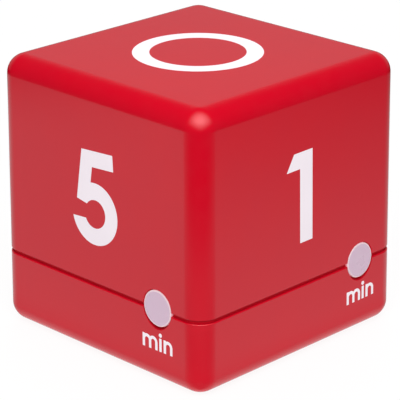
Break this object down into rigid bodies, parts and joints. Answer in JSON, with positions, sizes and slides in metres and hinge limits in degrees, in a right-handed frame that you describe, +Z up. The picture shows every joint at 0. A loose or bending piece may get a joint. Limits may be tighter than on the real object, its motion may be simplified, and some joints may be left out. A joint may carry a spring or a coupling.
{
  "type": "cube timer",
  "caption": "Cube countdown timer: two rounded shells meeting at a low seam, printed minute numerals, a lamp lens on each side, display and battery door underneath.",
  "frame": {"origin": "middle of the underside, on the surface that the cube stands on", "axes": "+Z up, out of the ring that marks the off side; the numeral 5 faces -Y, 1 faces +X, 15 faces +Y and 10 faces -X"},
  "size_m": [0.0634, 0.0634, 0.0635],
  "materials": {
    "red_case": "satin moulded plastic",
    "white_ink": "pad-printed ink",
    "milky_lens": "translucent, satin",
    "led_epoxy": "clear cast resin",
    "green_board": "solder mask",
    "nickel": "nickel plated",
    "steel": "bright zinc plated",
    "black_plastic": "moulded",
    "black_resin": "cast resin",
    "capacitor_sleeve": "shrunk sleeve",
    "cell_label": "printed film",
    "foam": "closed-cell foam",
    "display_window": "clear, polished",
    "display_glass": "polarised glass",
    "striped_rubber": "silicone",
    "ribbon_film": "flexible film"
  },
  "bodies": {
    "case": {"upper_shell": "red_case", "base_shell": "red_case", "numeral_five": "white_ink", "numeral_one": "white_ink", "numeral_ten_one": "white_ink", "numeral_ten_zero": "white_ink", "numeral_fifteen_one": "white_ink", "numeral_fifteen_five": "white_ink", "off_ring": "white_ink", "lens_front": "milky_lens", "lens_right": "milky_lens", "lens_back": "milky_lens", "lens_left": "milky_lens", "led_front": "led_epoxy", "led_right": "led_epoxy", "led_back": "led_epoxy", "led_left": "led_epoxy", "main_board": "green_board", "display_board": "green_board", "contact_positive": "nickel", "contact_negative": "nickel", "contact_bridge": "nickel", "crystal": "nickel", "tilt_can_front": "nickel", "tilt_can_right": "nickel", "tilt_can_back": "nickel", "tilt_can_left": "nickel", "spring_bridge": "steel", "spring_negative": "steel", "case_screw_front_left": "steel", "case_screw_front_right": "steel", "case_screw_back_left": "steel", "case_screw_back_right": "steel", "board_screw_back_left": "steel", "board_screw_back_right": "steel", "board_screw_front": "steel", "display_screw_left": "steel", "display_screw_right": "steel", "buzzer": "black_plastic", "tilt_plug_front": "black_plastic", "tilt_plug_right": "black_plastic", "tilt_plug_back": "black_plastic", "tilt_plug_left": "black_plastic", "controller_blob": "black_resin", "capacitor": "capacitor_sleeve", "cell_front": "cell_label", "cell_back": "cell_label", "buzzer_gasket": "foam", "display_window": "display_window", "display_panel": "display_glass", "zebra_strip": "striped_rubber", "ribbon_cable": "ribbon_film"},
    "door": {"battery_door": "red_case"},
    "ball_front": {"tilt_ball_front": "steel"},
    "ball_right": {"tilt_ball_right": "steel"},
    "ball_back": {"tilt_ball_back": "steel"},
    "ball_left": {"tilt_ball_left": "steel"}
  },
  "joints": [
    {"name": "door_hinge", "type": "hinge", "parent": "case", "child": "door", "pos_m": [-0.0248, -0.0063, 0.0002], "axis": [0, 1, 0], "range_deg": [0, 80]},
    {"name": "ball_roll_front", "type": "slide", "parent": "case", "child": "ball_front", "axis": [0, -0.9781, 0.2079], "range_m": [0, 0.0019]},
    {"name": "ball_roll_right", "type": "slide", "parent": "case", "child": "ball_right", "axis": [0.9781, 0, 0.2079], "range_m": [0, 0.0019]},
    {"name": "ball_roll_back", "type": "slide", "parent": "case", "child": "ball_back", "axis": [0, 0.9781, 0.2079], "range_m": [0, 0.0019]},
    {"name": "ball_roll_left", "type": "slide", "parent": "case", "child": "ball_left", "axis": [-0.9781, 0, 0.2079], "range_m": [0, 0.0019]}
  ]
}
